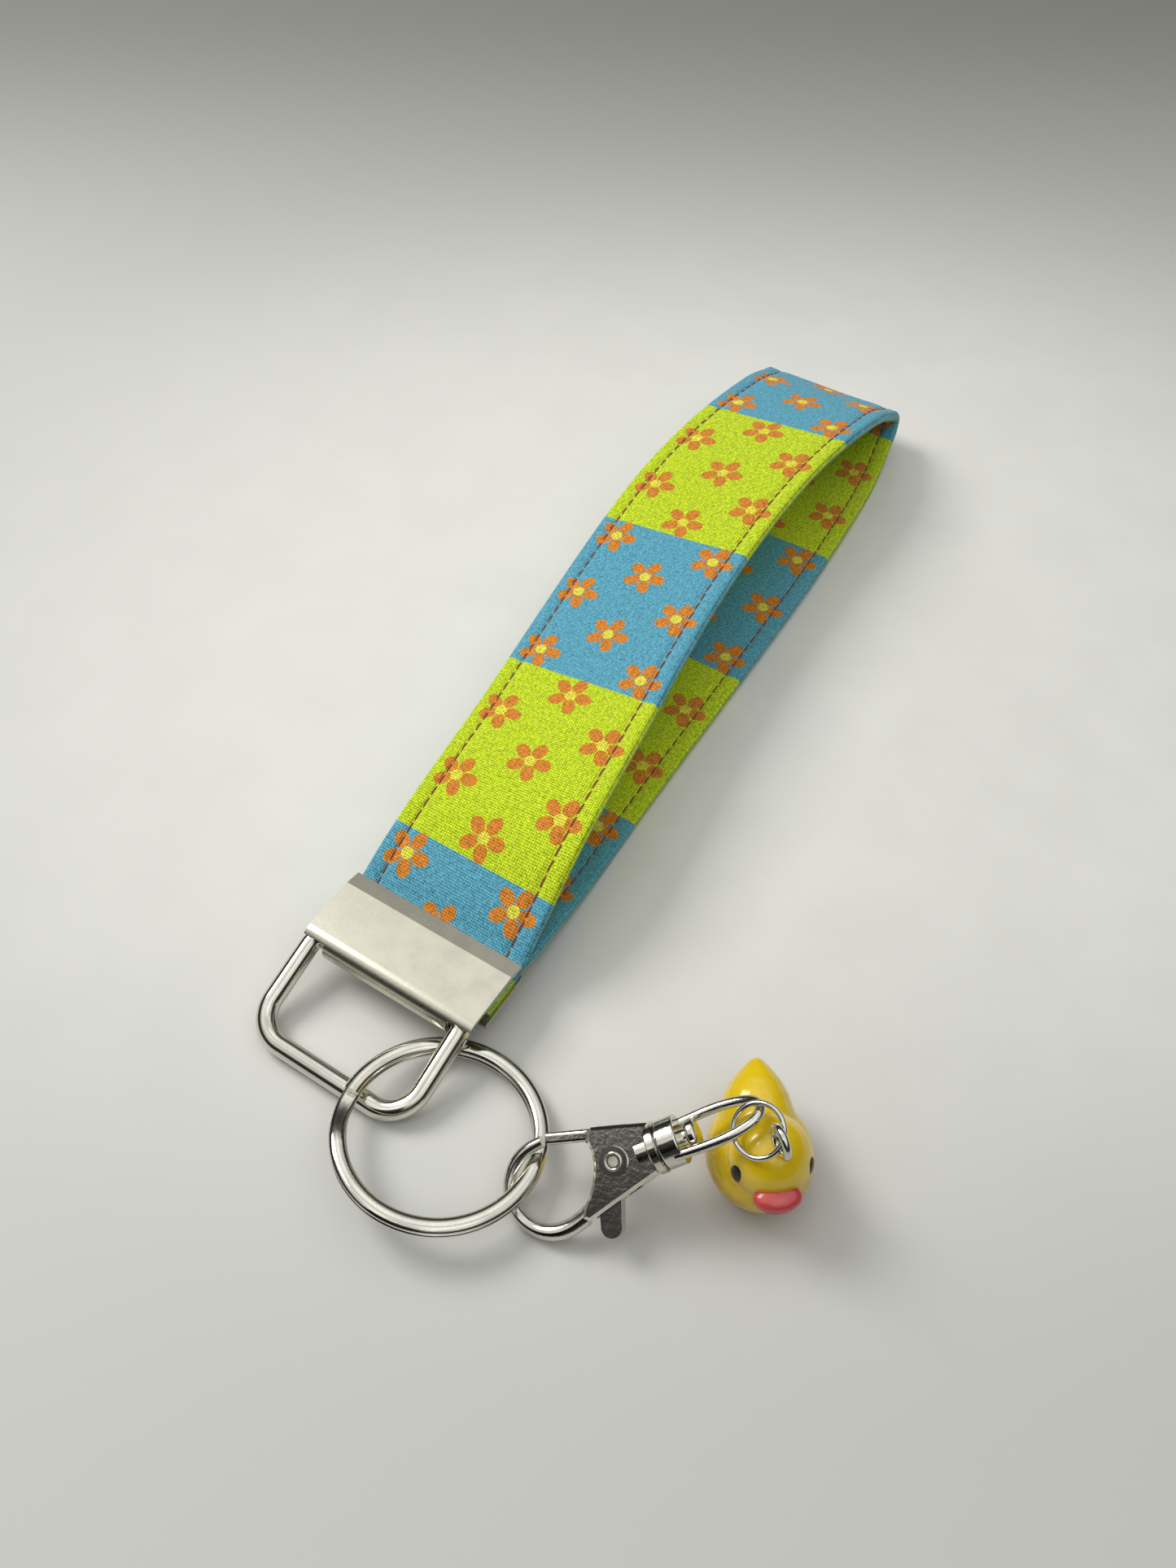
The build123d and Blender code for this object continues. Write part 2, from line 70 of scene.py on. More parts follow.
# (y, z, x, rise, thickness) along the strip's middle, from the clamp's edge
STRAP_LINE = [
    (-8.6, 7.92, 0.0, 0.0, 1.60), (-7.2, 7.92, 0.0, 0.0, 1.60), (-5.8, 7.92, 0.0, 0.0, 1.60),
    (-4.4, 7.92, 0.0, 0.0, 1.60), (-3.1, 7.90, 0.0, 0.0, 1.56), (-1.6, 7.76, 0.0, 0.0, 1.24),
    (-0.2, 7.64, 0.0, 0.0, 0.98), (0.8, 7.78, 0.0, 0.0, 1.10), (2.2, 8.35, 0.0, 0.0, 1.6),
    (4.2, 9.4, 0.0, 0.4, 2.1), (9.0, 11.7, -0.1, 1.6, PLY_T), (16.0, 14.6, -0.4, 3.8, PLY_T),
    (24.0, 15.9, -1.2, 5.2, PLY_T), (35.0, 16.2, -2.6, 6.0, PLY_T), (48.0, 16.4, -4.4, 6.2, PLY_T),
    (62.0, 16.8, -6.4, 6.4, PLY_T), (76.0, 17.4, -8.1, 6.2, PLY_T), (90.0, 18.4, -9.2, 5.4, PLY_T),
    (104.0, 19.3, -9.7, 4.6, PLY_T), (118.0, 19.8, -9.4, 4.2, PLY_T), (130.0, 19.2, -8.7, 3.6, PLY_T),
    (140.0, 17.6, -8.2, 2.8, PLY_T), (148.5, 15.0, -8.2, 1.8, PLY_T), (154.8, 11.7, -8.5, 0.8, PLY_T),
    (159.2, 9.2, -8.9, 0.2, 2.1), (160.9, 7.2, -9.0, 0.0, 2.0), (159.6, 5.45, -8.6, 0.0, 2.1),
    (154.8, 3.2, -7.9, 0.0, PLY_T), (150.0, 1.5, -7.1, 0.0, PLY_T), (144.0, 1.1, -6.2, 0.0, PLY_T),
    (136.0, 1.1, -5.3, 0.0, PLY_T), (124.0, 1.1, -4.4, 0.0, PLY_T), (108.0, 1.1, -3.5, 0.0, PLY_T),
    (90.0, 1.1, -3.0, 0.0, PLY_T), (70.0, 1.1, -2.6, 0.0, PLY_T), (50.0, 1.1, -2.2, 0.0, PLY_T),
    (36.0, 1.1, -1.8, 0.0, PLY_T), (27.0, 1.25, -1.4, 0.0, PLY_T), (18.0, 2.15, -0.9, 0.0, PLY_T),
    (10.0, 3.9, -0.4, 0.0, PLY_T), (4.4, 5.3, 0.0, 0.0, 2.1), (2.2, 5.95, 0.0, 0.0, 1.6),
    (0.8, 6.28, 0.0, 0.0, 1.10), (-0.2, 6.36, 0.0, 0.0, 0.98), (-1.6, 6.24, 0.0, 0.0, 1.24),
    (-3.1, 6.10, 0.0, 0.0, 1.56), (-4.4, 6.08, 0.0, 0.0, 1.60), (-5.8, 6.08, 0.0, 0.0, 1.60),
    (-7.2, 6.08, 0.0, 0.0, 1.60), (-8.6, 6.08, 0.0, 0.0, 1.60),
]


def srgb(r, g, b):
    """0-255 display colour as a linear RGBA."""
    out = []
    for c in (r, g, b):
        c = c / 255
        out.append(c / 12.92 if c <= 0.04045 else ((c + 0.055) / 1.055) ** 2.4)
    return (*out, 1.0)


# ---------------------------------------------------------------- node helpers
class Tree:
    """Short calls for building a node tree."""

    def __init__(self, tree):
        self.tree = tree

    def node(self, kind, **values):
        n = self.tree.nodes.new(kind)
        for k, v in values.items():
            setattr(n, k, v)
        return n

    def put(self, socket, value):
        if isinstance(value, bpy.types.NodeSocket):
            self.tree.links.new(value, socket)
        elif value is not None:
            socket.default_value = value

    def math(self, op, a, b=None, c=None):
        n = self.node("ShaderNodeMath", operation=op)
        for i, v in enumerate((a, b, c)):
            self.put(n.inputs[i], v)
        return n.outputs[0]

    def ramp(self, x, lo, hi, out_lo=0.0, out_hi=1.0, smooth=True):
        n = self.node("ShaderNodeMapRange")
        n.interpolation_type = "SMOOTHSTEP" if smooth else "LINEAR"
        for i, v in enumerate((x, lo, hi, out_lo, out_hi)):
            self.put(n.inputs[i], v)
        return n.outputs[0]

    def mix(self, factor, a, b, blend="MIX"):
        n = self.node("ShaderNodeMix", data_type="RGBA", blend_type=blend)
        self.put(n.inputs[0], factor)
        self.put(n.inputs[6], a)
        self.put(n.inputs[7], b)
        return n.outputs[2]

    def curve(self, x, points):
        """Value of a smooth curve through points, for x from points[0][0] to points[-1][0]."""
        lo, hi = points[0][0], points[-1][0]
        ys = [p[1] for p in points]
        y0, y1 = min(ys), max(ys)
        n = self.node("ShaderNodeFloatCurve")
        line = n.mapping.curves[0]
        scaled = [((p[0] - lo) / (hi - lo), (p[1] - y0) / (y1 - y0)) for p in points]
        line.points[0].location = scaled[0]
        line.points[1].location = scaled[-1]
        for p in scaled[1:-1]:
            line.points.new(*p)
        n.mapping.update()
        self.put(n.inputs["Value"], self.ramp(x, lo, hi, smooth=False))
        return self.ramp(n.outputs[0], 0.0, 1.0, y0, y1, smooth=False)

    def noise(self, vector, scale, detail=2.0, rough=0.5):
        n = self.node("ShaderNodeTexNoise")
        self.put(n.inputs["Vector"], vector)
        n.inputs["Scale"].default_value = scale
        n.inputs["Detail"].default_value = detail
        n.inputs["Roughness"].default_value = rough
        return n.outputs[0]

    def bump(self, height, distance, strength=1.0, normal=None):
        n = self.node("ShaderNodeBump")
        n.inputs["Strength"].default_value = strength
        n.inputs["Distance"].default_value = distance
        self.put(n.inputs["Height"], height)
        if normal is not None:
            self.put(n.inputs["Normal"], normal)
        return n.outputs[0]


def new_material(name):
    m = bpy.data.materials.new(name)
    m.use_nodes = True
    t = Tree(m.node_tree)
    shader = m.node_tree.nodes["Principled BSDF"]
    return m, t, shader


def object_coords(t):
    return t.node("ShaderNodeTexCoord").outputs["Object"]


# ---------------------------------------------------------------- the cloth's print
BAND = 40.0             # each straight colour band, along the strip, mm
CELL_S, CELL_W = 16.0, STRAP_W / 3
YARN_PITCH = 0.46
PETALS = 5
PETAL_REACH, PETAL_LEN, PETAL_W, HEART_R = 2.6, 1.7, 1.25, 1.1


def blossom(t, ds, dw):
    """Petal mask and heart mask of a plain blossom, from the distances to its centre."""
    r = t.math("SQRT", t.math("ADD", t.math("MULTIPLY", ds, ds), t.math("MULTIPLY", dw, dw)))
    sector = 2 * math.pi / PETALS
    turned = t.math("ADD", t.math("ARCTAN2", ds, dw), sector * 8.5)
    a = t.math("SUBTRACT", t.math("MODULO", turned, sector), sector / 2)
    outward = t.math("SUBTRACT", t.math("MULTIPLY", r, t.math("COSINE", a)), PETAL_REACH)
    x = t.math("DIVIDE", outward, PETAL_LEN)
    y = t.math("DIVIDE", t.math("MULTIPLY", r, t.math("SINE", a)), PETAL_W)
    inside = t.math("ADD", t.math("MULTIPLY", x, x), t.math("MULTIPLY", y, y))
    return t.ramp(inside, 1.1, 0.9), t.ramp(r, HEART_R + 0.08, HEART_R - 0.08)


def cloth_material():
    """Plain-weave cloth with a stock repeat: straight bands and small blossoms in offset rows."""
    m, t, shader = new_material("printed_cloth")
    uv = t.node("ShaderNodeUVMap", uv_map="print_mm")
    flat = t.node("ShaderNodeSeparateXYZ")
    t.put(flat.inputs[0], uv.outputs[0])
    s0, w0 = flat.outputs[0], flat.outputs[1]
    drift = t.math("MULTIPLY", t.math("SUBTRACT", t.noise(uv.outputs[0], 2.2, 3.0, 0.6), 0.5), 0.28)
    s = t.math("ADD", s0, drift)
    w = t.math("ADD", w0, t.math("MULTIPLY", drift, 0.8))

    blue, lime = srgb(92, 166, 190), srgb(196, 218, 34)
    orange, yellow = srgb(214, 134, 46), srgb(230, 222, 70)
    along_band = t.math("ABSOLUTE", t.math("WRAP", s, BAND, -BAND))
    colour = t.mix(t.ramp(along_band, BAND / 2 - 0.1, BAND / 2 + 0.1), blue, lime)
    column = t.math("ADD", t.math("DIVIDE", w, CELL_W), 1.5)
    odd = t.math("MODULO", t.math("FLOOR", t.math("ADD", column, 2.0)), 2.0)
    shifted = t.math("ADD", s, t.math("MULTIPLY", odd, CELL_S / 2))
    ds = t.math("WRAP", shifted, CELL_S / 2, -CELL_S / 2)
    dw = t.math("MULTIPLY", t.math("SUBTRACT", t.math("FRACT", column), 0.5), CELL_W)
    petals, heart = blossom(t, ds, dw)
    colour = t.mix(heart, t.mix(petals, colour, orange), yellow)

    across = t.math("SINE", t.math("MULTIPLY", t.math("ADD", w0, drift), math.pi / YARN_PITCH))
    along = t.math("SINE", t.math("MULTIPLY", t.math("ADD", s0, drift), math.pi / YARN_PITCH))
    over = t.ramp(t.math("MULTIPLY", across, along), -0.12, 0.12)
    yarn_a = t.math("POWER", t.math("ABSOLUTE", across), 0.8)
    yarn_b = t.math("POWER", t.math("ABSOLUTE", along), 0.8)
    height = t.math(
        "ADD", t.math("MULTIPLY", yarn_a, over),
        t.math("MULTIPLY", t.math("MULTIPLY", yarn_b, 0.8), t.math("SUBTRACT", 1.0, over)),
    )
    fuzz = t.noise(uv.outputs[0], 1.7, 4.0, 0.8)
    slub = t.noise(uv.outputs[0], 0.7, 4.0, 0.65)
    # painted light and shade: yarn height makes the colour lighter on the yarn tops and painted shade
    # darkens it between yarns; fuzz and slub add random tone
    shade = t.math("ADD", t.ramp(height, 0.1, 0.8, 0.40, 1.36), t.ramp(fuzz, 0.34, 0.66, -0.34, 0.34))
    shade = t.math("ADD", shade, t.ramp(slub, 0.3, 0.7, -0.1, 0.1))
    tone = t.node("ShaderNodeCombineColor")
    for i in range(3):
        t.put(tone.inputs[i], shade)
    colour = t.mix(1.0, colour, tone.outputs[0], "MULTIPLY")
    t.put(shader.inputs["Base Color"], colour)
    relief = t.math("ADD", height, t.math("MULTIPLY", fuzz, 0.7))
    t.put(shader.inputs["Normal"], t.bump(relief, 0.00012, 0.75))
    shader.inputs["Roughness"].default_value = 0.82
    shader.inputs["Specular IOR Level"].default_value = 0.25
    shader.inputs["Sheen Weight"].default_value = 0.18
    shader.inputs["Sheen Roughness"].default_value = 0.45
    return m


def thread_material():
    """Twisted rust-brown sewing thread."""
    m, t, shader = new_material("thread")
    uv = t.node("ShaderNodeUVMap", uv_map="print_mm")
    flat = t.node("ShaderNodeSeparateXYZ")
    t.put(flat.inputs[0], uv.outputs[0])
    round_thread = t.math("MULTIPLY", flat.outputs[1], 6.28)
    twist = t.math("ADD", t.math("MULTIPLY", flat.outputs[0], 14.0), round_thread)
    ply = t.ramp(t.math("SINE", twist), -1.0, 1.0)
    # painted shade in the grooves between the twisted plies and lighter colour on their ridges; the same
    # ridges drive the bump
    t.put(shader.inputs["Base Color"], t.mix(ply, srgb(96, 40, 22), srgb(168, 86, 46)))
    t.put(shader.inputs["Normal"], t.bump(ply, 0.00005, 0.8))
    shader.inputs["Roughness"].default_value = 0.55
    shader.inputs["Sheen Weight"].default_value = 0.2
    return m


def metal_material(name, tint, rough, grain, grain_depth, scuff=0.05):
    """Plated metal with fine texture, faint cloudiness and hairline wear."""
    m, t, shader = new_material(name)
    at = object_coords(t)
    cloud = t.noise(at, 220.0, 4.0, 0.6)
    hair = t.node("ShaderNodeTexNoise")
    stretch = t.node("ShaderNodeMapping")
    stretch.inputs["Scale"].default_value = (2600.0, 300.0, 700.0)
    stretch.inputs["Rotation"].default_value = (0.3, 0.5, 0.7)
    t.put(stretch.inputs[0], at)
    t.put(hair.inputs["Vector"], stretch.outputs[0])
    hair.inputs["Scale"].default_value = 1.0
    hair.inputs["Detail"].default_value = 3.0
    worn = t.ramp(hair.outputs[0], 0.58, 0.72)
    dull = tuple(c * 0.86 for c in tint[:3]) + (1.0,)
    t.put(shader.inputs["Base Color"], t.mix(t.ramp(cloud, 0.35, 0.7), tint, dull))
    base = t.ramp(cloud, 0.3, 0.75, rough, rough + 0.05)
    t.put(shader.inputs["Roughness"], t.math("ADD", base, t.math("MULTIPLY", worn, scuff)))
    shader.inputs["Metallic"].default_value = 1.0
    pebble = t.noise(at, grain, 3.0, 0.55)
    t.put(shader.inputs["Normal"], t.bump(pebble, grain_depth, 1.0))
    return m


def resin_material(name, light, shaded, low_z, high_z, rough=0.16, coat=0.5):
    """Glossy painted resin: painted shade below (the shaded colour at low_z turning to the lit colour at
    high_z), soft mottling, faint dimples, clear coat.
    """
    m, t, shader = new_material(name)
    at = object_coords(t)
    split = t.node("ShaderNodeSeparateXYZ")
    t.put(split.inputs[0], at)
    # painted shade: darker towards the bottom, with the lit colour from high_z up
    rise = t.ramp(split.outputs[2], low_z * MM, high_z * MM)
    mottle = t.noise(at, 420.0, 3.0, 0.5)
    level = t.math("ADD", rise, t.ramp(mottle, 0.3, 0.7, -0.18, 0.18))
    colour = t.mix(t.ramp(level, 0.0, 1.0), shaded, light)
    t.put(shader.inputs["Base Color"], colour)
    t.put(shader.inputs["Roughness"], t.ramp(mottle, 0.3, 0.7, rough, rough + 0.08))
    shader.inputs["Coat Weight"].default_value = coat
    shader.inputs["Coat Roughness"].default_value = 0.06
    shader.inputs["Subsurface Weight"].default_value = 0.12
    shader.inputs["Subsurface Radius"].default_value = (1.0, 0.6, 0.2)
    shader.inputs["Subsurface Scale"].default_value = 0.0015
    t.put(shader.inputs["Normal"], t.bump(t.noise(at, 900.0, 2.0, 0.5), 0.00004, 0.5))
    return m


# ---------------------------------------------------------------- mesh helpers
def mesh_object(name, verts, faces, uvs=None):
    """Mesh in millimetres turned to metres; uvs are one (u, v) per vertex."""
    me = bpy.data.meshes.new(name)
    me.from_pydata([tuple(v) for v in np.asarray(verts) * MM], [], faces)
    me.update()
    if uvs is not None:
        layer = me.uv_layers.new(name="print_mm")
        loops = np.zeros(len(me.loops), np.int32)
        me.loops.foreach_get("vertex_index", loops)
        layer.data.foreach_set("uv", np.asarray(uvs, np.float32)[loops].ravel())
    me.polygons.foreach_set("use_smooth", [True] * len(me.polygons))
    ob = bpy.data.objects.new(name, me)
    bpy.context.scene.collection.objects.link(ob)
    return ob


def from_bmesh(name, bm, smooth=True):
    """New linked object from a bmesh, which is freed."""
    me = bpy.data.meshes.new(name)
    bm.to_mesh(me)
    bm.free()
    if smooth:
        me.polygons.foreach_set("use_smooth", [True] * len(me.polygons))
    ob = bpy.data.objects.new(name, me)
    bpy.context.scene.collection.objects.link(ob)
    return ob


def strap_curve(step):
    """Arc length and (centre, width direction, normal, thickness) rows along the strip, in mm."""
    p = np.array(STRAP_LINE, float)
    d = np.r_[0, np.cumsum(np.linalg.norm(np.diff(p[:, :3], axis=0), axis=1))]
    tangent = np.gradient(p, d, axis=0)
    arc = np.linspace(0, d[-1], int(d[-1] / step) + 1)
    k = np.clip(np.searchsorted(d, arc, side="right") - 1, 0, len(d) - 2)
    h = d[k + 1] - d[k]
    u = ((arc - d[k]) / h)[:, None]
    h = h[:, None]
    rows = (
        (2 * u**3 - 3 * u**2 + 1) * p[k] + (u**3 - 2 * u**2 + u) * h * tangent[k]
        + (-2 * u**3 + 3 * u**2) * p[k + 1] + (u**3 - u**2) * h * tangent[k + 1]
    )
    along = np.gradient(rows[:, :2], arc, axis=0)
    along /= np.linalg.norm(along, axis=1)[:, None]
    zero = np.zeros(len(arc))
    normal = np.stack([zero, -along[:, 1], along[:, 0]], 1)
    roll = np.arcsin(rows[:, 3] / STRAP_W)[:, None]
    ex = np.array([[1.0, 0, 0]])
    width = ex * np.cos(roll) + normal * np.sin(roll)
    normal = normal * np.cos(roll) - ex * np.sin(roll)
    centre = np.stack([rows[:, 2], rows[:, 0] - CLAMP_TO_ORIGIN, rows[:, 1]], 1)
    return arc, centre, width, normal, rows[:, 4]


def loose(arc):
    """0 inside the clamp and 1 on the free cloth, for a piece's small surface waves."""
    total = arc[-1]
    edge = np.minimum(arc, total - arc)
    return np.clip((edge - CLAMPED_LEN) / CLAMPED_FADE, 0, 1)


def face_height(arc, across, thick, side):
    """Height of the cloth's face over the strip's middle surface."""
    a = arc[:, None]
    w = np.asarray(across)[None, :]
    free = loose(arc)[:, None]
    near = np.abs(w) - ROW_AT
    channel = CHANNEL_D * np.exp(-((near / CHANNEL_W) ** 2))
    beat = 0.5 + 0.5 * np.cos(2 * np.pi * a / STITCH_PITCH)
    pucker = PUCKER_D * beat * np.exp(-((near / PUCKER_W) ** 2)) * free
    pillow = -PILLOW_D * np.exp(-((w / PILLOW_W) ** 4)) * free
    wave = WAVE_D * np.sin(a / 5.3 + w / 4.1 + side) * np.sin(a / 9.7 - w / 6.3) * free
    return thick[:, None] / 2 - channel - pucker + pillow + wave


def build_strap(material):
    """The folded strip as one closed mesh with rounded, folded-under edges."""
    arc, centre, width, normal, thick = strap_curve(0.52)
    edge_ticks = np.array([14.0, 14.6, 15.3])
    beside_ticks = np.array([11.2, 11.9])
    ticks = np.concatenate([
        -edge_ticks[::-1], -ROW_AT + ROW_TICKS, -beside_ticks[::-1], np.linspace(-10.4, 10.4, 27),
        beside_ticks, ROW_AT + ROW_TICKS, edge_ticks,
    ])
    outer = face_height(arc, ticks, thick, 0.0)
    inner = face_height(arc, ticks[::-1], thick, 2.0)
    bend = np.linspace(80, -80, 7)
    columns, across, sheet = [], [], []

    def add_face(places, heights, print_start):
        for j, w in enumerate(places):
            columns.append((np.full(len(arc), w), heights[:, j]))
            across.append(w)
            sheet.append(print_start)

    def add_rolled_edge(sign, angles):
        for a in angles:
            rad = math.radians(a)
            out = sign * (ROLL_AT + ROLL_R * math.cos(rad))
            columns.append((np.full(len(arc), out), (thick / 2 - ROLL_IN) * math.sin(rad)))
            across.append(sign * (ROLL_PRINT_AT + ROLL_PRINT_R * math.cos(rad)))
            sheet.append(0.0 if a >= 0 else INNER_PRINT)

    add_face(ticks, outer, 0.0)
    add_rolled_edge(1, bend)
    add_face(ticks[::-1], -inner, INNER_PRINT)
    add_rolled_edge(-1, bend[::-1])
    n, m = len(arc), len(columns)
    verts = np.zeros((n, m, 3))
    uvs = np.zeros((n, m, 2))
    for j, (w, h) in enumerate(columns):
        verts[:, j] = centre + width * w[:, None] + normal * h[:, None]
        uvs[:, j, 0] = arc + sheet[j]
        uvs[:, j, 1] = across[j]
    faces = []
    for i in range(n - 1):
        for j in range(m):
            k = (j + 1) % m
            faces.append((i * m + j, i * m + k, (i + 1) * m + k, (i + 1) * m + j))
    faces.append(tuple(range(m))[::-1])
    faces.append(tuple((n - 1) * m + j for j in range(m)))
    ob = mesh_object("strap", verts.reshape(-1, 3), faces, uvs.reshape(-1, 2))
    bm = bmesh.new()
    bm.from_mesh(ob.data)
    bmesh.ops.recalc_face_normals(bm, faces=bm.faces)
    bm.to_mesh(ob.data)
    bm.free()
    ob.data.materials.append(material)
    return ob, arc[-1]


def build_thread(name, side, material):
    """One sewn row: separate stitches on both faces of the strip."""
    arc, centre, width, normal, thick = strap_curve(0.2)
    row = side * ROW_AT
    verts, faces, uvs = [], [], []
    rings, spokes = 7, 7
    margin = 3.0            # bare length at each end of the strip
    for face in (1, -1):
        height = face_height(arc, [row], thick, 0.0 if face > 0 else 2.0)[:, 0]
        start = margin
        while start + STITCH_LEN < arc[-1] - margin:
            base = len(verts)
            for i in range(rings):
                f = i / (rings - 1)
                at = start + f * STITCH_LEN
                k = int(round(at / (arc[1] - arc[0])))
                lift = STITCH_LIFT - STITCH_DIP * abs(2 * f - 1) ** 3
                lean = STITCH_LEAN * side * (f - 0.5)
                mid = centre[k] + width[k] * (row + lean) + normal[k] * face * (height[k] + lift)
                r = THREAD_R * (1.0 if 0 < i < rings - 1 else 0.55)
                for q in range(spokes):
                    a = 2 * math.pi * q / spokes
                    verts.append(mid + (width[k] * math.cos(a) + normal[k] * math.sin(a)) * r)
                    uvs.append((at, q / spokes))
            for i in range(rings - 1):
                for q in range(spokes):
                    k = (q + 1) % spokes
                    one = base + i * spokes
                    faces.append((one + q, one + k, one + spokes + k, one + spokes + q))
            faces.append(tuple(base + q for q in range(spokes))[::-1])
            faces.append(tuple(base + (rings - 1) * spokes + q for q in range(spokes)))
            start += STITCH_PITCH
    ob = mesh_object(name, verts, faces, uvs)
    ob.data.materials.append(material)
    return ob


# ---------------------------------------------------------------- duck
DUCK_FACE = Vector((0.634, -0.774, 0.0)).normalized()
DUCK_SIDE = Vector((0, 0, 1)).cross(DUCK_FACE)
HEAD_AT = Vector((64.04, -66.86, 10.5))
HEAD_R = 6.1
BODY_AT = Vector((62.25, -65.6, 6.1))
BODY_SIZE = (8.6, 8.0, 6.0)
TAIL_TIP = Vector((55.5, -55.0, 10.5))
BEAK_AT = Vector((67.9, -71.7, 10.1))
BEAK_SIZE = (2.15, 3.5, 1.75)
REST_Z = 0.2
TAIL_ROOT = BODY_AT - DUCK_FACE * 3.0 + Vector((0, 0, 0.6))
TAIL_BALLS = (      # share of the way to the tip, radius
    (0.0, 6.1), (0.18, 5.8), (0.35, 5.2), (0.5, 4.4), (0.64, 3.45), (0.76, 2.6), (0.86, 1.85), (0.94, 1.2),
)
DUCK_VOXEL = 0.24
EYE_LOOK = (0.42, 0.93, 0.12)       # forward, sideways, up
EYE_SIZE = (1.15, 1.7, 0.5)         # across, tall, proud
EYE_SINK = 0.28


def ball(name, at, size, segments=48, rings=32, shape=None):
    """Ellipsoid in the duck's own directions; shape(local unit point) may change it."""
    bm = bmesh.new()
    bmesh.ops.create_uvsphere(bm, u_segments=segments, v_segments=rings, radius=1.0)
    for v in bm.verts:
        p = shape(v.co.copy()) if shape else v.co
        level = DUCK_FACE * p.x * size[0] + DUCK_SIDE * p.y * size[1]
        v.co = (at + level + Vector((0, 0, p.z * size[2]))) * MM
    return from_bmesh(name, bm)


def apply_modifiers(ob):
    """The object's evaluated mesh becomes its mesh."""
    deps = bpy.context.evaluated_depsgraph_get()
    deps.update()
    me = bpy.data.meshes.new_from_object(ob.evaluated_get(deps))
    ob.modifiers.clear()
    ob.data = me
    return ob


def join(name, parts):
    """One mesh object out of several."""
    bm = bmesh.new()
    for p in parts:
        bm.from_mesh(p.data)
    for p in parts:
        bpy.data.objects.remove(p)
    return from_bmesh(name, bm, smooth=False)


def build_duck(material):
    """Head, body and tail melted into one moulded form, flat where it stands."""
    parts = [ball("head", HEAD_AT, (HEAD_R, HEAD_R, HEAD_R * 0.99))]
    parts.append(ball("body", BODY_AT, BODY_SIZE))
    along = TAIL_TIP - TAIL_ROOT
    for f, r in TAIL_BALLS:
        parts.append(ball("tail", TAIL_ROOT + along * f, (r, r, r * 0.98), 32, 20))
    duck = join("duck", parts)
    remesh = duck.modifiers.new("remesh", "REMESH")
    remesh.mode = "VOXEL"
    remesh.voxel_size = DUCK_VOXEL * MM
    smooth = duck.modifiers.new("smooth", "SMOOTH")
    smooth.factor = 0.5
    smooth.iterations = 14
    apply_modifiers(duck)
    for v in duck.data.vertices:
        v.co.z = max(v.co.z, REST_Z * MM)
    duck.data.polygons.foreach_set("use_smooth", [True] * len(duck.data.polygons))
    duck.data.materials.append(material)
    return duck


def build_eye(name, side, material):
    """Painted oval eye, proud of the head."""
    forward, sideways, up = EYE_LOOK
    look = (DUCK_FACE * forward + DUCK_SIDE * (sideways * side) + Vector((0, 0, up))).normalized()
    across = Vector((0, 0, 1)).cross(look).normalized()
    tall = look.cross(across)
    spot = HEAD_AT + look * (HEAD_R - EYE_SINK)
    bm = bmesh.new()
    bmesh.ops.create_uvsphere(bm, u_segments=32, v_segments=20, radius=1.0)
    wide, high, proud = EYE_SIZE
    for v in bm.verts:
        p = v.co
        v.co = (spot + across * (p.x * wide) + tall * (p.y * high) + look * (p.z * proud)) * MM
    ob = from_bmesh(name, bm)
    ob.data.materials.append(material)
    return ob


def build_beak(material):
    """Broad bill with a mouth line and a lifted upper edge."""
    def shape(p):
        front = max(p.x, 0.0)
        line = p.z + 0.10 + 0.22 * p.y * p.y
        groove = 0.16 * math.exp(-((line / 0.10) ** 2)) * front
        p = p * (1.0 - groove)
        p.x += 0.16 * front * max(p.z, 0.0)
        p.z += 0.18 * p.y * p.y
        return p
    beak = ball("beak", BEAK_AT, BEAK_SIZE, 72, 56, shape)
    beak.data.materials.append(material)
    return beak


# ---------------------------------------------------------------- build
nickel = srgb(222, 219, 208)
cloth = cloth_material()
thread = thread_material()
bright = metal_material("bright_nickel", nickel, 0.07, 900.0, 0.000004)
cast = metal_material("cast_nickel", nickel, 0.10, 1500.0, 0.00002)
satin = metal_material("clamp_nickel", srgb(206, 203, 186), 0.24, 2400.0, 0.000008, scuff=0.03)
steel = metal_material("spring_steel", srgb(120, 118, 112), 0.25, 900.0, 0.00002)
# the second colour of each resin is painted shade on its lower part
yellow_resin = resin_material("yellow_resin", srgb(238, 204, 26), srgb(206, 150, 8), 0.0, 12.0)
beak_resin = resin_material("beak_resin", srgb(206, 76, 76), srgb(176, 46, 52), 8.0, 11.5, rough=0.2)
eye_resin = resin_material(
    "eye_resin", srgb(14, 12, 10), srgb(6, 5, 5), 9.0, 13.0, rough=0.28, coat=0.0
)

strap, strap_length = build_strap(cloth)
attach(strap, "strap")
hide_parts("strap_cloth")
sewn_rows = (("thread_left", "stitch_left", -1), ("thread_right", "stitch_right", 1))
for row_name, node_name, row_side in sewn_rows:
    row_object = build_thread(row_name, row_side, thread)
    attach(row_object, "strap")
    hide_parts(node_name)

duck = build_duck(yellow_resin)
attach(duck, "charm")
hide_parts("duck_body")
beak = build_beak(beak_resin)
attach(beak, "charm")
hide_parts("duck_beak")

for eye_name, node_name, eye_side in (("eye_left", "duck_eye_left", -1), ("eye_right", "duck_eye_right", 1)):
    eye = build_eye(eye_name, eye_side, eye_resin)
    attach(eye, "charm")
    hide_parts(node_name)

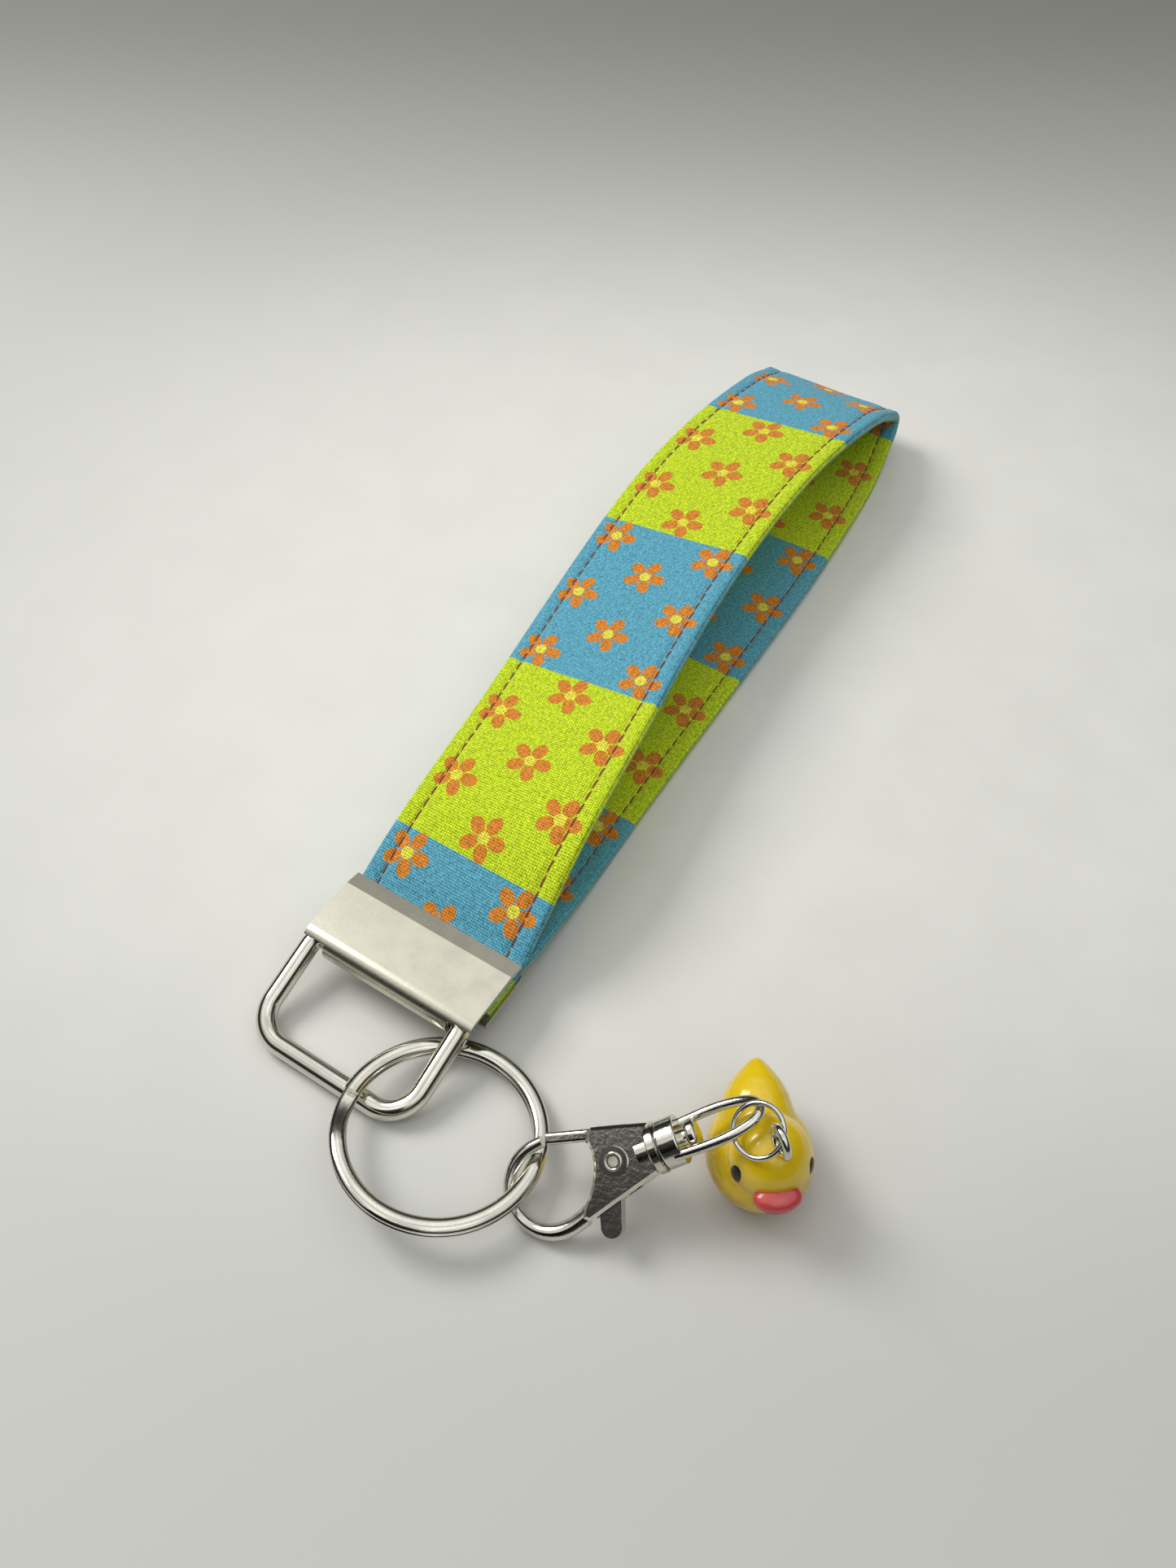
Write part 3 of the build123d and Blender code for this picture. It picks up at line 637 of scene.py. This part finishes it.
node_materials = {
    "clamp_shell": satin, "swing_bail": bright, "split_ring": bright, "hook_body": cast,
    "gate_lever": cast, "pivot_rivet": bright, "gate_spring": steel, "swivel_stud": bright,
    "swivel_eye": cast, "jump_ring": bright, "screw_eye": bright,
}
for node_name, material in node_materials.items():
    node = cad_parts[node_name]
    node.data.materials.clear()
    node.data.materials.append(material)
for node_name in ("clamp_shell", "hook_body", "gate_lever"):
    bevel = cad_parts[node_name].modifiers.new("edge", "BEVEL")
    bevel.width = 0.12 * MM
    bevel.segments = 2
    bevel.limit_method = "ANGLE"
    bevel.angle_limit = math.radians(40)

# ---------------------------------------------------------------- stage, light, camera
LOOK = Vector((-0.5432, 0.8396, 0.0))       # level direction that the camera faces
RIGHT = Vector((0.8396, 0.5432, 0.0))
UP = Vector((0, 0, 1))
MIDDLE = Vector((0.01, -0.01, 0.0))
LIGHT_POOL_AT = (0.03, 0.02, 0.0)                 # centre of the painted pool of light, where the floor is palest
FLOOR_GAP = 0.00005                         # keeps the floor clear of the cloth's flat
KEY_AT = MIDDLE - RIGHT * 0.42 + LOOK * 0.22 + UP * 0.50
KEY_SIZE = (0.30, 0.30)
KEY_WATTS = 2.5
KEY_COLOUR = (1.0, 0.99, 0.965)
CAMERA_AT = (0.08336, -0.14426, 0.1933)
CAMERA_PITCH_DEG = 52.1
CAMERA_LENS = 30.8

floor_material, ft, floor_shader = new_material("floor")
grainy = ft.noise(object_coords(ft), 60.0, 4.0, 0.5)
plain = ft.mix(ft.ramp(grainy, 0.3, 0.7), srgb(228, 228, 223), srgb(232, 232, 227))
# painted light and shade on the floor: a pool of painted light that fades outwards, and painted shade far
# off along the view and towards the camera
ground = ft.node("ShaderNodeVectorMath", operation="DOT_PRODUCT")
ft.put(ground.inputs[0], object_coords(ft))
ground.inputs[1].default_value = LOOK
far_shade = ft.ramp(ground.outputs["Value"], 0.10, 0.33)
near = ft.ramp(ground.outputs["Value"], -0.03, -0.13)
spread = ft.node("ShaderNodeVectorMath", operation="DISTANCE")
ft.put(spread.inputs[0], object_coords(ft))
spread.inputs[1].default_value = LIGHT_POOL_AT
rim_shade = ft.ramp(spread.outputs["Value"], 0.07, 0.24)
# painted shade colours: the faded edge of the pool, towards the camera, and far off
plain = ft.mix(rim_shade, plain, srgb(196, 196, 192))
plain = ft.mix(near, plain, srgb(206, 206, 202))
ft.put(floor_shader.inputs["Base Color"], ft.mix(far_shade, plain, srgb(136, 136, 131)))
floor_shader.inputs["Roughness"].default_value = 0.6
floor_shader.inputs["Specular IOR Level"].default_value = 0.3
bm = bmesh.new()
bmesh.ops.create_grid(bm, x_segments=1, y_segments=1, size=1.6)
floor = from_bmesh("floor", bm, smooth=False)
floor.location.z = -FLOOR_GAP
floor.data.materials.append(floor_material)


def area_light(name, at, target, size, watts, colour):
    """Soft square light aimed at a point, in metres."""
    data = bpy.data.lights.new(name, "AREA")
    data.shape = "RECTANGLE"
    data.size, data.size_y = size
    data.energy = watts
    data.color = colour
    ob = bpy.data.objects.new(name, data)
    ob.location = at
    ob.rotation_euler = (Vector(target) - Vector(at)).to_track_quat("-Z", "Y").to_euler()
    bpy.context.scene.collection.objects.link(ob)
    return ob


area_light("key", KEY_AT, MIDDLE, KEY_SIZE, KEY_WATTS, KEY_COLOUR)

world = bpy.data.worlds.new("studio")
world.use_nodes = True
bpy.context.scene.world = world
wt = Tree(world.node_tree)
sky = wt.node("ShaderNodeSeparateXYZ")
direction = wt.node("ShaderNodeTexCoord").outputs["Generated"]
wt.put(sky.inputs[0], direction)
level = wt.curve(
    sky.outputs[2],
    [
        (-1, 0.3), (-0.05, 0.2), (0.02, 0.06), (0.28, 0.03),
        (0.5, 0.10), (0.62, 0.55), (0.76, 0.95), (1, 1.15),
    ],
)
dark = wt.node("ShaderNodeVectorMath", operation="DOT_PRODUCT")
wt.put(dark.inputs[0], direction)
dark.inputs[1].default_value = Vector((0.0, -0.82, 0.57)).normalized()
level = wt.math("MULTIPLY", level, wt.ramp(dark.outputs["Value"], 0.90, 0.955, 1.0, 0.05))
room = wt.noise(direction, 2.6, 1.0, 0.4)
level = wt.math("MULTIPLY", level, wt.ramp(room, 0.36, 0.62, 0.7, 1.2))
background = world.node_tree.nodes["Background"]
grey = wt.node("ShaderNodeCombineColor")
for channel, gain in enumerate((1.0, 1.0, 0.985)):
    wt.put(grey.inputs[channel], wt.math("MULTIPLY", level, gain))
wt.put(background.inputs[0], grey.outputs[0])
background.inputs[1].default_value = 1.0

camera_data = bpy.data.cameras.new("camera")
camera_data.lens = CAMERA_LENS
camera_data.sensor_width = 36.0
camera_data.clip_start = 0.005
camera_data.dof.use_dof = False
camera = bpy.data.objects.new("camera", camera_data)
camera.location = CAMERA_AT
pitch = math.radians(CAMERA_PITCH_DEG)
aim = LOOK * math.cos(pitch) - UP * math.sin(pitch)
camera.rotation_euler = aim.to_track_quat("-Z", "Y").to_euler()
bpy.context.scene.collection.objects.link(camera)
bpy.context.scene.camera = camera
bpy.context.scene.view_settings.view_transform = "Standard"
